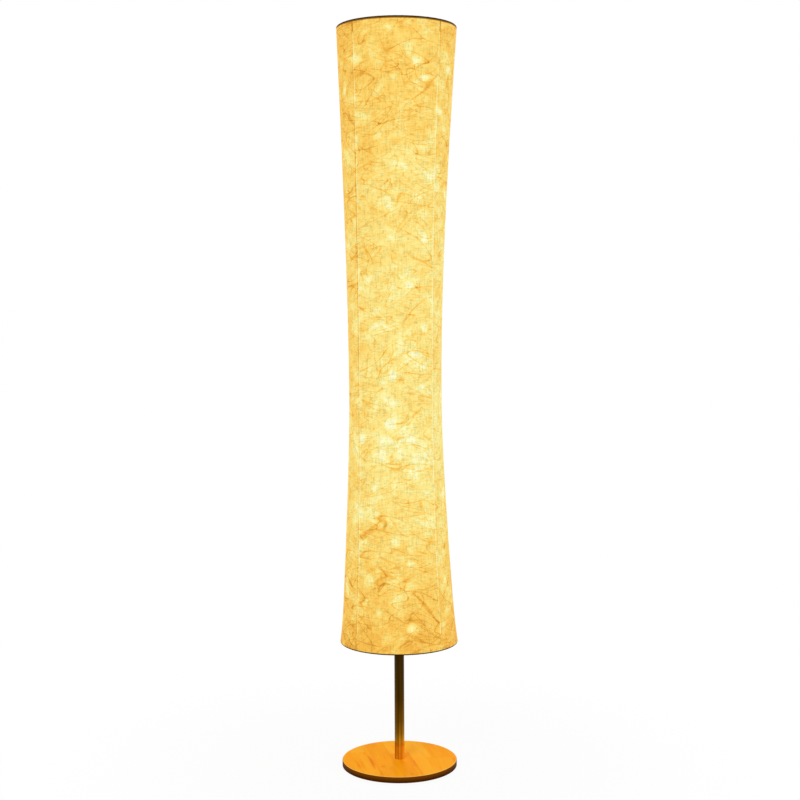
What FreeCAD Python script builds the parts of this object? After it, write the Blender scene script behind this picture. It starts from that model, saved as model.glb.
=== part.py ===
import FreeCAD, Part
import math
import os
from FreeCAD import Vector

# Paper lantern floor lamp: a waisted paper shade on a thin pole over a round wooden base.
# Millimetres, +Z up. The origin is on the floor, at the middle of the base's underside.
# +Y is the back of the lamp, where the cord leaves the base.

# ---------------------------------------------------------------- driving dimensions
# Base
base_radius = 127.5
base_thickness = 14.0
base_top_round = 2.0
base_bottom_round = 1.2
felt_thickness = 1.0
felt_margin = 4.0  # how far the felt stays back from the base's edge
weight_radius = 100.0
weight_thickness = 6.0
weight_play = 0.5  # radial gap round the weight in its recess
weight_sink = 1.0  # the weight's underside above the wood's
well_radius = 15.0  # hole in the weight, and well in the wood, for the pole's nut
wood_under_pole = 5.0  # wood left between the well and the pole's foot
slot_width = 12.0  # slot in the weight for the leads
screw_ring_radius = 70.0
screw_count = 3
screw_radius = 1.9
screw_head_radius = 3.8
screw_head_height = 2.2
screw_length = 10.0
screw_play = 0.1

# Cord outlet at the back of the base
cord_bore_radius = 3.5
grommet_wall = 1.1
grommet_length = 14.0
grommet_flange_wall = 1.3  # flange beyond the grommet's body
grommet_flange_thickness = 1.5
spot_face_depth = 0.5  # flat cut in the round edge, on which the flange seats

# Threaded lamp tube and its nuts
nipple_radius = 5.0
nipple_wall = 1.25
thread_play = 0.05
hole_play = 0.2
nut_flats = 14.0
nut_thickness = 3.4
washer_radius = 10.0
washer_thickness = 0.8
nipple_stand_out = 0.6  # how far a nipple ends past its nut

# Pole
pole_radius = 11.0
pole_wall = 1.0
lower_tube_length = 517.0
middle_tube_length = 633.0
upper_tube_length = 420.0
bush_length = 14.0
bush_chamfer = 0.8
press_gap = 0.02
nipple_end_gap = 1.0  # a nipple stops this far short of its bush's far end

# Brackets that carry the lamp holders
bracket_reach = 45.0
bracket_thickness = 2.0
bracket_margin = 8.0  # metal round each hole of a bracket
bracket_azimuth = -45.0  # degrees, from +X towards +Y

# Lamp holders, heights above their bracket
holder_foot_radius = 14.5
holder_radius = 19.5
holder_wall = 1.8
holder_cap_height = 17.0
holder_cap_shoulder = 9.0
holder_shell_height = 36.0
holder_lip = 0.9
holder_floor = 2.5
holder_play = 0.1
insert_thickness = 7.0
contact_rise = 2.6
contact_width = 5.0
contact_thickness = 0.6
screw_shell_height = 24.0
screw_shell_wall = 0.4
screw_shell_play = 0.3  # radial, between the bulb's cap and the screw shell

# Bulbs, heights above the tip of their centre contact
bulb_cap_radius = 13.05
bulb_cap_height = 20.0
bulb_cap_wall = 0.4
bulb_tip_radius = 4.6
bulb_tip_height = 1.5
bulb_insulator_height = 3.0
bulb_collar_radius = 13.8
bulb_collar_height = 2.0
bulb_shoulder_radius = 27.0
bulb_shoulder_height = 52.0
bulb_radius = 30.0
bulb_globe_height = 78.0
bulb_height = 108.0
bulb_wall = 1.4
board_thickness = 1.6
board_gap = 0.3
bulb_contact_gap = 0.1

# Leads inside the pole
lead_radius = 1.5
lead_offset = 1.9  # of each lead from the pole's axis
lead_bend = 4.5  # radius of the leads' turn under the pole
lead_clearance = 0.35
splice_radius = 1.85
splice_length = 16.0
splice_start = 62.0  # distance of the splices from the pole's axis
exit_drop = 28.0  # the leads' holes in the pole, below each bracket
exit_climb = 16.0  # height in which a lead crosses the pole to its hole
exit_turn = 6.0  # distance from the axis at which a lead has turned outwards
lead_inner_bend = 5.0
lead_outer_bend = 8.0
lead_end_height = 12.0  # the leads' ends above the brackets, inside the holders
bushing_wall = 2.0
bushing_flange = 1.5
bushing_flange_thickness = 1.3
bushing_play = 0.25

# Stud and finial on top of the pole
stud_radius = 3.175
stud_shoulder = 3.0
pivot_washer_thickness = 1.0
pivot_play = 0.08
finial_height = 20.0
finial_base_radius = 8.5
finial_ball_radius = 7.5
finial_neck_radius = 5.2
finial_insert_radius = 4.6
finial_insert_length = 11.0
finial_insert_play = 0.1
stud_in_finial = 10.0

# Wire rings and spiders of the shade
rim_radius = 130.0  # outside of the paper at both rims
ring_wire_radius = 2.0
ring_spacing = 1336.5  # from the bottom ring to the top ring
arm_wire_radius = 1.75
arm_count = 4
hub_radius = 12.0
hub_height = 5.0
hub_edge = 0.6
top_drop = 23.5  # hub of the top spider, below its ring
bottom_rise = 16.0  # hub of the bottom spider, above its ring
arm_flat = 14.0  # level run of each arm beside hub and ring
arm_bend = 22.0
guide_play = 0.4  # radial, round the pole
guide_wall = 1.8
guide_flange = 1.6
guide_flange_thickness = 1.5
guide_hub_wall = 2.4
guide_hub_height = 9.0

# Paper skin
skin_thickness = 0.8
waist_height = 548.5  # above the bottom ring
waist_radius = 101.3  # middle of each paper panel at the waist
seam_waist_radius = 110.0  # the seams at the waist
upper_bend = 1.7  # how sharply the panels turn out above the waist
lower_bend = 3.2
lower_flare = 4.0  # the last flare of the panels onto the bottom ring
flare_power = 12
seam_gap = 0.1  # of each panel's edge from its seam
ring_play = 0.25  # paper to wire
hem_end_angle = 110.0  # the hem goes over the wire up to this angle from outside
panel_names = ("right", "back", "left", "front")

# Rods along the seams, their sleeves and clips
rod_radius = 1.5
rod_inset = 3.4  # rod's axis inside the paper's outer face
sleeve_wall = 0.7
rod_play = 0.1
clip_radius = 2.4
clip_length = 24.0
clip_jaw_wall = 1.0
clip_jaw_play = 0.12
clip_jaw_width = 8.0
clip_jaw_start = 150.0  # degrees round the wire, from outside over the top
clip_jaw_end = 300.0
rod_end_gap = 5.5  # rod's end from the ring's centre

# ---------------------------------------------------------------- heights that follow
base_bottom_z = felt_thickness
base_top_z = base_bottom_z + base_thickness
recess_top_z = base_bottom_z + weight_sink + weight_thickness
well_top_z = base_top_z - wood_under_pole
cord_z = base_bottom_z + base_thickness / 2
lower_bracket_z = base_top_z + lower_tube_length
middle_tube_z = lower_bracket_z + bracket_thickness
upper_bracket_z = middle_tube_z + middle_tube_length
upper_tube_z = upper_bracket_z + bracket_thickness
pole_top_z = upper_tube_z + upper_tube_length
pivot_z = pole_top_z + stud_shoulder + pivot_washer_thickness
hub_top_z = pivot_z + hub_height
top_ring_z = pivot_z + hub_height / 2 + top_drop
bottom_ring_z = top_ring_z - ring_spacing
waist_z = bottom_ring_z + waist_height

# Radii that follow
bore_radius = pole_radius - pole_wall
ring_radius = rim_radius - skin_thickness - ring_play - ring_wire_radius
hem_radius = ring_wire_radius + ring_play + skin_thickness
nipple_bore = nipple_radius - nipple_wall
grommet_radius = cord_bore_radius + grommet_wall
screw_shell_radius = bulb_cap_radius + screw_shell_play
bracket_x = bracket_reach * math.cos(math.radians(bracket_azimuth))
bracket_y = bracket_reach * math.sin(math.radians(bracket_azimuth))

Z = Vector(0, 0, 1)
ORIGIN = Vector(0, 0, 0)


# ---------------------------------------------------------------- shape helpers
def disc(radius, low, high, x=0.0, y=0.0):
    return Part.makeCylinder(radius, high - low, Vector(x, y, low))


def tube(outer, inner, low, high, x=0.0, y=0.0):
    return disc(outer, low, high, x, y).cut(disc(inner, low - 1, high + 1, x, y))


def hexagon(flats, low, high):
    corner = flats / 2 / math.cos(math.radians(30))
    points = [around(Vector(corner, 0, low), 60 * i) for i in range(7)]
    return Part.Face(Part.makePolygon(points)).extrude(Vector(0, 0, high - low))


def around(thing, degrees):
    # A point, or a copy of a shape, turned about the lamp's axis
    if isinstance(thing, Vector):
        return FreeCAD.Rotation(Z, degrees).multVec(thing)
    return thing.rotated(ORIGIN, Z, degrees)


def turned(*steps):
    # A closed outline of (radius, height) points, revolved. A step of four numbers is an arc: by way of, to.
    edges = []
    here = steps[0]
    for step in steps[1:] + steps[:1]:
        start = Vector(here[-2], 0, here[-1])
        end = Vector(step[-2], 0, step[-1])
        if len(step) == 4:
            edges.append(Part.Arc(start, Vector(step[0], 0, step[1]), end).toShape())
        elif (end - start).Length > 1e-6:
            edges.append(Part.LineSegment(start, end).toShape())
        here = step
    return Part.Face(Part.Wire(edges)).revolve(ORIGIN, Z, 360)


def corner_arc(r, z, radius, from_degrees, to_degrees):
    # The step of an arc about (r, z), for turned()
    middle = math.radians((from_degrees + to_degrees) / 2)
    end = math.radians(to_degrees)
    return (
        r + radius * math.cos(middle),
        z + radius * math.sin(middle),
        r + radius * math.cos(end),
        z + radius * math.sin(end),
    )


def rounded_path(points, bends):
    # Straight runs joined by tangent arcs, with one radius for each inner point
    edges = []
    start = points[0]
    for before, corner, after, bend in zip(points, points[1:], points[2:], bends):
        back = (before - corner).normalize()
        onward = (after - corner).normalize()
        half = back.getAngle(onward) / 2
        setback = bend / math.tan(half)
        middle = (back + onward).normalize() * (bend / math.sin(half) - bend)
        edges.append(Part.LineSegment(start, corner + back * setback).toShape())
        arc = Part.Arc(corner + back * setback, corner + middle, corner + onward * setback)
        edges.append(arc.toShape())
        start = corner + onward * setback
    edges.append(Part.LineSegment(start, points[-1]).toShape())
    return Part.Wire(edges)


def round_bar(path, radius):
    first = path.Edges[0]
    start = first.valueAt(first.FirstParameter)
    direction = first.tangentAt(first.FirstParameter)
    section = Part.Wire(Part.makeCircle(radius, start, direction))
    return path.makePipeShell([section], True, False)


def bracket_place(shape, z):
    # From a holder's own place over the origin to the far end of its bracket
    return shape.translated(Vector(bracket_x, bracket_y, z))


# ---------------------------------------------------------------- base
def screw_places():
    return [around(Vector(screw_ring_radius, 0, 0), 360 * (i + 0.5) / screw_count - 150) for i in range(screw_count)]


def countersunk(place, radius, head_radius, low, high):
    # A shank with a countersunk head at its lower end
    head = Part.makeCone(head_radius, radius, screw_head_height, Vector(place.x, place.y, low))
    return head.fuse(disc(radius, low, high, place.x, place.y)).removeSplitter()


def base_disc():
    top = base_top_z - base_top_round
    low = base_bottom_z + base_bottom_round
    wood = turned(
        (0, base_bottom_z),
        (base_radius - base_bottom_round, base_bottom_z),
        corner_arc(base_radius - base_bottom_round, low, base_bottom_round, -90, 0),
        (base_radius, top),
        corner_arc(base_radius - base_top_round, top, base_top_round, 0, 90),
        (0, base_top_z),
    )
    wood = wood.cut(disc(weight_radius + weight_play, 0, recess_top_z))
    wood = wood.cut(disc(well_radius, 0, well_top_z))
    wood = wood.cut(disc(nipple_radius + hole_play, 0, base_top_z + 1))
    for place in screw_places():
        top = base_bottom_z + weight_sink + screw_length + screw_play
        wood = wood.cut(disc(screw_radius + screw_play, 0, top, place.x, place.y))
    start = Vector(0, weight_radius, cord_z)
    back = Vector(0, 1, 0)
    hole = Part.makeCylinder(grommet_radius + press_gap, base_radius, start, back)
    seat = Vector(0, base_radius - spot_face_depth, cord_z)
    seat_radius = grommet_radius + grommet_flange_wall + hole_play
    return wood.cut(hole).cut(Part.makeCylinder(seat_radius, base_radius, seat, back))


def base_weight():
    low = base_bottom_z + weight_sink
    plate = tube(weight_radius, well_radius, low, recess_top_z)
    slot = Part.makeBox(slot_width, 2 * weight_radius, weight_thickness, Vector(-slot_width / 2, 0, low))
    plate = plate.cut(slot)
    for place in screw_places():
        hole = countersunk(
            place, screw_radius + screw_play, screw_head_radius + screw_play, low, recess_top_z + 1
        )
        plate = plate.cut(hole)
    return plate


def weight_screws():
    low = base_bottom_z + weight_sink
    return [countersunk(p, screw_radius, screw_head_radius, low, low + screw_length) for p in screw_places()]


def base_felt():
    return disc(base_radius - felt_margin, 0, felt_thickness)


def cord_grommet():
    back = Vector(0, 1, 0)
    seat_y = base_radius - spot_face_depth
    start = Vector(0, seat_y - grommet_length, cord_z)
    body = Part.makeCylinder(grommet_radius, grommet_length, start, back)
    flange = Part.makeCylinder(
        grommet_radius + grommet_flange_wall, grommet_flange_thickness, Vector(0, seat_y, cord_z), back
    )
    bore = Part.makeCylinder(
        cord_bore_radius, 2 * grommet_length, start - Vector(0, grommet_length / 4, 0), back
    )
    return body.fuse(flange).cut(bore).removeSplitter()


def foot_fixing():
    # Hollow threaded tube through the wood, with its washer and nut in the well
    nut_low = well_top_z - washer_thickness - nut_thickness
    low = nut_low - nipple_stand_out
    high = base_top_z + bush_length - nipple_end_gap
    washer = tube(washer_radius, nipple_radius + hole_play, well_top_z - washer_thickness, well_top_z)
    nut = hexagon(nut_flats, nut_low, nut_low + nut_thickness)
    nut = nut.cut(disc(nipple_radius + thread_play, 0, base_top_z))
    return {
        "foot_nipple": tube(nipple_radius, nipple_bore, low, high),
        "foot_washer": washer,
        "foot_nut": nut,
    }


# ---------------------------------------------------------------- pole
def outward(azimuth=bracket_azimuth):
    return around(Vector(1, 0, 0), azimuth)


def exit_hole(z, radius, start, end):
    # A round hole or plug in the pole's wall, under a bracket
    return Part.makeCylinder(radius, end - start, outward() * start + Vector(0, 0, z), outward())


def pole_tube(low, length, exit_z=None):
    wall = tube(pole_radius, bore_radius, low, low + length)
    if exit_z is None:
        return wall
    return wall.cut(exit_hole(exit_z, bushing_neck(), 0, 2 * pole_radius))


def bushing_neck():
    return lead_radius + bushing_play + bushing_wall


def tube_bush(low):
    outer = bore_radius - press_gap
    inner = nipple_radius + thread_play
    high = low + bush_length
    return turned(
        (inner, low),
        (outer - bush_chamfer, low),
        (outer, low + bush_chamfer),
        (outer, high - bush_chamfer),
        (outer - bush_chamfer, high),
        (inner, high),
    )


def tube_bushes():
    lows = []
    for low, length in (
        (base_top_z, lower_tube_length),
        (middle_tube_z, middle_tube_length),
        (upper_tube_z, upper_tube_length),
    ):
        lows += [low, low + length - bush_length]
    return [tube_bush(low) for low in lows]


def joint_nipples():
    reach = bush_length - nipple_end_gap
    return [
        tube(nipple_radius, nipple_bore, z - reach, z + bracket_thickness + reach)
        for z in (lower_bracket_z, upper_bracket_z)
    ]


def bracket(z):
    # A flat link: one end is clamped between two tubes, the other carries a holder
    round_end = nipple_radius + hole_play + bracket_margin
    high = z + bracket_thickness
    body = disc(round_end, z, high).fuse(disc(round_end, z, high, bracket_reach))
    body = body.fuse(
        Part.makeBox(bracket_reach, 2 * round_end, bracket_thickness, Vector(0, -round_end, z))
    )
    waist = bracket_reach / 2
    bite = round_end * 1.6
    for side in (-1, 1):
        # the waist between the two round ends
        body = body.cut(disc(bite, z - 1, high + 1, waist, side * (bite + nipple_radius)))
    for x in (0, bracket_reach):
        body = body.cut(disc(nipple_radius + hole_play, z - 1, high + 1, x))
    return around(body.removeSplitter(), bracket_azimuth)


def lead_bushing(bracket_z):
    # A snap-in bushing, whose flange is hollowed to sit on the round pole
    z = bracket_z - exit_drop
    neck = exit_hole(z, bushing_neck() - press_gap, bore_radius, pole_radius + bushing_flange_thickness)
    flange = exit_hole(
        z, bushing_neck() + bushing_flange, bore_radius, pole_radius + bushing_flange_thickness
    )
    span = 2 * (bushing_neck() + bushing_flange)
    flange = flange.cut(disc(pole_radius + press_gap, z - span, z + span))
    bushing = neck.cut(disc(bore_radius, z - span, z + span)).fuse(flange).removeSplitter()
    return bushing.cut(exit_hole(z, lead_radius + bushing_play, 0, 2 * pole_radius))


def lead(side, bracket_z):
    # One flexible lead, from its splice in the base up the pole and out to its holder
    x = side * lead_offset
    run_z = base_bottom_z + splice_radius + lead_clearance
    exit_z = bracket_z - exit_drop
    holder = outward() * bracket_reach
    points = [
        Vector(x, splice_start, run_z),
        Vector(x, 0, run_z),
        Vector(x, 0, exit_z - exit_climb),
        outward() * exit_turn + Vector(0, 0, exit_z),
        holder + Vector(0, 0, exit_z),
        holder + Vector(0, 0, bracket_z + bracket_thickness + lead_end_height),
    ]
    bends = (lead_bend, lead_inner_bend, lead_inner_bend, lead_outer_bend)
    return round_bar(rounded_path(points, bends), lead_radius)


def splices():
    run_z = base_bottom_z + splice_radius + lead_clearance
    return [
        Part.makeCylinder(
            splice_radius, splice_length, Vector(side * lead_offset, splice_start, run_z), Vector(0, 1, 0)
        )
        for side in (-1, 1)
    ]


# ---------------------------------------------------------------- lamp holders
shell_low = holder_cap_height
shell_high = holder_cap_height + holder_shell_height
insert_low = shell_low
insert_high = insert_low + insert_thickness
tip_z = insert_high + contact_rise + bulb_contact_gap


def holder_cap():
    inner = holder_radius - holder_wall
    foot = holder_foot_radius
    hole = nipple_radius + thread_play
    return turned(
        (hole, 0),
        (foot, 0),
        (holder_radius, holder_cap_shoulder),
        (holder_radius, holder_cap_height),
        (inner, holder_cap_height),
        (inner, holder_cap_shoulder + holder_wall / 2),
        (foot - holder_wall / 2, holder_floor),
        (hole, holder_floor),
    )


def holder_shell():
    # A plain sleeve with a rolled lip and two grip grooves
    inner = holder_radius - holder_wall
    groove = holder_wall / 3
    pitch = holder_shell_height / 9
    return turned(
        (inner, shell_low),
        (holder_radius, shell_low),
        (holder_radius, shell_low + 2 * pitch),
        (holder_radius - groove, shell_low + 2.5 * pitch),
        (holder_radius, shell_low + 3 * pitch),
        (holder_radius, shell_low + 4 * pitch),
        (holder_radius - groove, shell_low + 4.5 * pitch),
        (holder_radius, shell_low + 5 * pitch),
        (holder_radius, shell_high - 2 * holder_lip),
        (holder_radius + holder_lip, shell_high - holder_lip),
        (holder_radius, shell_high),
        (inner, shell_high),
    )


def holder_insert():
    outer = holder_radius - holder_wall - holder_play
    body = disc(outer, insert_low, insert_high)
    recess = disc(screw_shell_radius - 2 * screw_shell_wall, insert_high - 1, insert_high + 1)
    return body.cut(recess)


def screw_shell():
    outer = screw_shell_radius + screw_shell_wall
    low = insert_high
    high = low + screw_shell_height
    return tube(outer, screw_shell_radius, low, high)


def centre_contact():
    # A sprung tongue of strip, riveted in the insert's recess and bent up under the bulb
    low = insert_high - 1
    long = screw_shell_radius * 0.6
    rise = 1 + contact_rise
    t = contact_thickness
    outline = [
        Vector(-long, 0, low),
        Vector(0, 0, low),
        Vector(0, 0, low + t),
        Vector(-long * 0.7, 0, low + t),
        Vector(-long * 0.25, 0, low + rise - t),
        Vector(long * 0.6, 0, low + rise - t),
        Vector(long * 0.6, 0, low + rise),
        Vector(-long * 0.3, 0, low + rise),
        Vector(-long, 0, low + 2 * t),
        Vector(-long, 0, low),
    ]
    strip = Part.Face(Part.makePolygon(outline)).extrude(Vector(0, contact_width, 0))
    return strip.translated(Vector(0, -contact_width / 2, 0))


def holder_nipple():
    low = -bracket_thickness - nut_thickness - nipple_stand_out
    return tube(nipple_radius, nipple_bore, low, holder_cap_shoulder)


def holder_nut():
    high = -bracket_thickness
    nut = hexagon(nut_flats, high - nut_thickness, high)
    return nut.cut(disc(nipple_radius + thread_play, high - nut_thickness - 1, high + 1))


# ---------------------------------------------------------------- bulbs
def bulb_tip():
    # The solder contact and the dark glass round it, at the bottom of the cap
    glass_low = tip_z + bulb_tip_height
    glass_high = glass_low + bulb_insulator_height
    return turned(
        (0, tip_z),
        (bulb_tip_radius * 0.6, tip_z),
        (bulb_tip_radius, glass_low),
        (bulb_cap_radius - 2 * bulb_cap_wall, glass_high),
        (0, glass_high),
    )


def bulb_cap():
    low = tip_z + bulb_tip_height + bulb_insulator_height
    return tube(bulb_cap_radius, bulb_cap_radius - bulb_cap_wall, low, low + bulb_cap_height)


def bulb_housing():
    low = tip_z + bulb_tip_height + bulb_insulator_height + bulb_cap_height
    high = tip_z + bulb_shoulder_height
    collar = low + bulb_collar_height
    wall = bulb_wall
    middle = (collar + high) / 2
    bulge_radius = (bulb_collar_radius + bulb_shoulder_radius) / 2 + wall
    return turned(
        (0, low),
        (bulb_collar_radius, low),
        (bulb_collar_radius, collar),
        (bulge_radius, middle, bulb_shoulder_radius, high),
        (bulb_shoulder_radius - wall, high),
        (bulb_shoulder_radius - wall, high - wall),
        (bulge_radius - wall, middle, bulb_collar_radius - wall, collar + wall),
        (0, collar + wall),
    )


def led_board():
    high = tip_z + bulb_shoulder_height - board_gap
    radius = bulb_shoulder_radius - bulb_wall - board_gap
    return disc(radius, high - board_thickness / 2, high + board_thickness / 2)


def bulb_dome():
    low = tip_z + bulb_shoulder_height
    top = tip_z + bulb_height
    wide = tip_z + bulb_globe_height
    # between the shoulder and the widest height the side is an arc about that height
    inner = bulb_wall
    side_z = (low + wide) / 2
    side_radius = (bulb_shoulder_radius + 3 * bulb_radius) / 4
    slant = bulb_radius * math.sqrt(0.5)
    rise = (top - wide) * math.sqrt(0.5)
    return turned(
        (bulb_shoulder_radius - inner, low),
        (bulb_shoulder_radius, low),
        (side_radius, side_z, bulb_radius, wide),
        (slant, wide + rise, 0, top),
        (0, top - inner),
        (slant - inner, wide + rise - inner / 2, bulb_radius - inner, wide),
        (side_radius - inner, side_z, bulb_shoulder_radius - inner, low),
    )


# ---------------------------------------------------------------- stud and finial
def top_stud():
    # Threaded into the top bush, with a shoulder that covers the pole's end
    shoulder = pole_top_z + stud_shoulder
    high = hub_top_z + stud_in_finial
    edge = stud_shoulder / 4
    return turned(
        (0, pole_top_z - bush_length + nipple_end_gap),
        (nipple_radius, pole_top_z - bush_length + nipple_end_gap),
        (nipple_radius, pole_top_z),
        (pole_radius, pole_top_z),
        (pole_radius, shoulder - edge),
        (pole_radius - edge, shoulder),
        (stud_radius, shoulder),
        (stud_radius, high),
        (0, high),
    )


def pivot_washer():
    low = pole_top_z + stud_shoulder
    return tube(hub_radius - 2 * hub_edge, stud_radius + pivot_play, low, low + pivot_washer_thickness)


def finial_knob():
    # A turned knob: a flange, a neck and a ball, bored out for its brass insert
    low = hub_top_z
    ball_z = low + finial_height - finial_ball_radius
    flange = finial_height / 7
    bore = finial_insert_radius
    neck_z = low + flange + (ball_z - low - flange) / 3
    waist = math.asin(min(0.95, finial_neck_radius / finial_ball_radius))
    ball_low = ball_z - finial_ball_radius * math.cos(waist)
    depth = finial_insert_length
    return turned(
        (bore, low),
        (finial_base_radius, low),
        (finial_base_radius, low + flange / 2),
        (finial_neck_radius, neck_z),
        (finial_neck_radius, max(ball_low, neck_z + flange / 4)),
        (finial_ball_radius, ball_z, 0, ball_z + finial_ball_radius),
        (0, low + depth),
        (bore, low + depth),
    )


def finial_insert():
    low = hub_top_z + board_gap
    outer = finial_insert_radius - finial_insert_play
    return tube(outer, stud_radius + pivot_play, low, hub_top_z + finial_insert_length - board_gap)


# ---------------------------------------------------------------- rings and spiders
def ring(z):
    return Part.makeTorus(ring_radius, ring_wire_radius, Vector(0, 0, z))


def arms(hub_wall, hub_z, ring_z):
    # Bent wire arms from inside the hub's wall to the ring, level at both ends
    points = [
        Vector(hub_wall - arm_wire_radius, 0, hub_z),
        Vector(hub_wall + arm_flat, 0, hub_z),
        Vector(ring_radius - arm_flat, 0, ring_z),
        Vector(ring_radius, 0, ring_z),
    ]
    arm = round_bar(rounded_path(points, (arm_bend, arm_bend)), arm_wire_radius)
    arm = arm.cut(ring(ring_z))
    return [around(arm, 360 * i / arm_count) for i in range(arm_count)]


def top_spider():
    r, edge = hub_radius, hub_edge
    bore = stud_radius + pivot_play
    hub = turned(
        (bore, pivot_z),
        (r - edge, pivot_z),
        (r, pivot_z + edge),
        (r, hub_top_z - edge),
        (r - edge, hub_top_z),
        (bore, hub_top_z),
    )
    return hub.multiFuse(arms(r, pivot_z + hub_height / 2, top_ring_z)).removeSplitter()


guide_bore = pole_radius + guide_play
guide_radius = guide_bore + guide_wall
guide_hub_radius = guide_radius + guide_hub_wall


def bottom_spider():
    middle = bottom_ring_z + bottom_rise
    low = middle - guide_hub_height / 2
    hub = tube(guide_hub_radius, guide_radius + press_gap, low, low + guide_hub_height)
    solid = hub.multiFuse(arms(guide_hub_radius, middle, bottom_ring_z))
    # an arm's inner end stops at the bush's seat
    return solid.cut(disc(guide_radius + press_gap, low - 1, low + guide_hub_height + 1)).removeSplitter()


def guide_bush():
    # Nylon bush that slides round the pole, with a flange on top of the hub
    low = bottom_ring_z + bottom_rise - guide_hub_height / 2
    high = low + guide_hub_height
    return turned(
        (guide_bore, low),
        (guide_radius, low),
        (guide_radius, high),
        (guide_radius + guide_flange, high),
        (guide_radius + guide_flange, high + guide_flange_thickness),
        (guide_bore, high + guide_flange_thickness),
    )


# ---------------------------------------------------------------- paper skin
def arc_radius(length, rise):
    # Radius of the circle that leaves its start level and rises by that much over the length
    return (length**2 + rise**2) / (2 * rise)


seam_rise = rim_radius - seam_waist_radius
upper_height = ring_spacing - waist_height
upper_arc = arc_radius(upper_height, seam_rise)
lower_arc = arc_radius(waist_height, seam_rise)


def seam_radius(z):
    # Each seam and its rod bow inwards in two arcs that meet level at the waist
    arc = upper_arc if z > waist_z else lower_arc
    return seam_waist_radius + arc - math.sqrt(arc**2 - (z - waist_z) ** 2)


def bend_share(share, bend):
    # A hyperbola's rise, from 0 at the waist to 1 at a ring
    return (math.sqrt(1 + (bend * share) ** 2) - 1) / (math.sqrt(1 + bend**2) - 1)


def middle_radius(z):
    # Middle of a panel, which the stretched paper draws further in than its seams
    rise = rim_radius - waist_radius
    if z > waist_z:
        return waist_radius + rise * bend_share((z - waist_z) / upper_height, upper_bend)
    share = (waist_z - z) / waist_height
    main = (rise - lower_flare) * bend_share(share, lower_bend)
    return waist_radius + main + lower_flare * share**flare_power


def panel_section(z):
    # Across a panel that faces +X: two arcs about one centre, mitred on the seam planes
    corner = seam_radius(z) * math.sqrt(0.5)
    middle = middle_radius(z)
    sagitta = middle - corner
    radius = (corner**2 + sagitta**2) / (2 * sagitta)
    centre = middle - radius

    def edge_point(r):
        k = seam_gap * math.sqrt(2) - centre
        y = (math.sqrt(2 * r**2 - k**2) - k) / 2
        return Vector(y + seam_gap * math.sqrt(2), y, z)

    def face_arc(r):
        end = edge_point(r)
        return Vector(end.x, -end.y, z), Vector(centre + r, 0, z), end

    outer = face_arc(radius)
    inner = face_arc(radius - skin_thickness)
    return Part.Wire(
        [
            Part.Arc(*outer).toShape(),
            Part.LineSegment(outer[2], inner[2]).toShape(),
            Part.Arc(*inner[::-1]).toShape(),
            Part.LineSegment(inner[0], outer[0]).toShape(),
        ]
    )


def skin_panel():
    lower = [1.0, 0.93, 0.84, 0.7, 0.5, 0.25]
    upper = [0.0, 0.25, 0.5, 0.75, 1.0]
    stations = [waist_z - s * waist_height for s in lower] + [waist_z + s * upper_height for s in upper]
    return Part.makeLoft([panel_section(z) for z in stations], True, False)


def hem(ring_z, up):
    # The paper's edge, turned over the ring's wire; up is 1 at the top ring and -1 at the bottom
    inner = ring_wire_radius + ring_play
    start, end = 0, math.radians(hem_end_angle)

    def at(radius, angle):
        return ring_radius + radius * math.cos(angle), ring_z + up * radius * math.sin(angle)

    return turned(
        at(inner, start),
        at(hem_radius, start),
        at(hem_radius, end / 2) + at(hem_radius, end),
        at(inner, end),
        at(inner, end / 2) + at(inner, start),
    )


# ---------------------------------------------------------------- rods, sleeves and clips
def rod_point(z):
    # The rod's line keeps rod_inset inside the seam, on arcs about the seam's own centres
    arc = upper_arc if z > waist_z else lower_arc
    inset = arc + rod_inset
    return Vector(seam_waist_radius + arc - math.sqrt(inset**2 - (z - waist_z) ** 2), 0, z)


def rod_path(low, high):
    below = Part.Arc(rod_point(low), rod_point((low + waist_z) / 2), rod_point(waist_z))
    above = Part.Arc(rod_point(waist_z), rod_point((high + waist_z) / 2), rod_point(high))
    return Part.Wire([below.toShape(), above.toShape()])


def at_seams(shape):
    return [around(shape, 45 + 90 * i) for i in range(4)]


def shade_rods():
    path = rod_path(bottom_ring_z + rod_end_gap, top_ring_z - rod_end_gap)
    return at_seams(round_bar(path, rod_radius))


def rod_sleeves():
    margin = clip_length + rod_end_gap
    low, high = bottom_ring_z + margin, top_ring_z - margin
    inner = rod_radius + rod_play
    outside = round_bar(rod_path(low, high), inner + sleeve_wall)
    inside = round_bar(rod_path(low - 1, high + 1), inner)
    return at_seams(outside.cut(inside))


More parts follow.
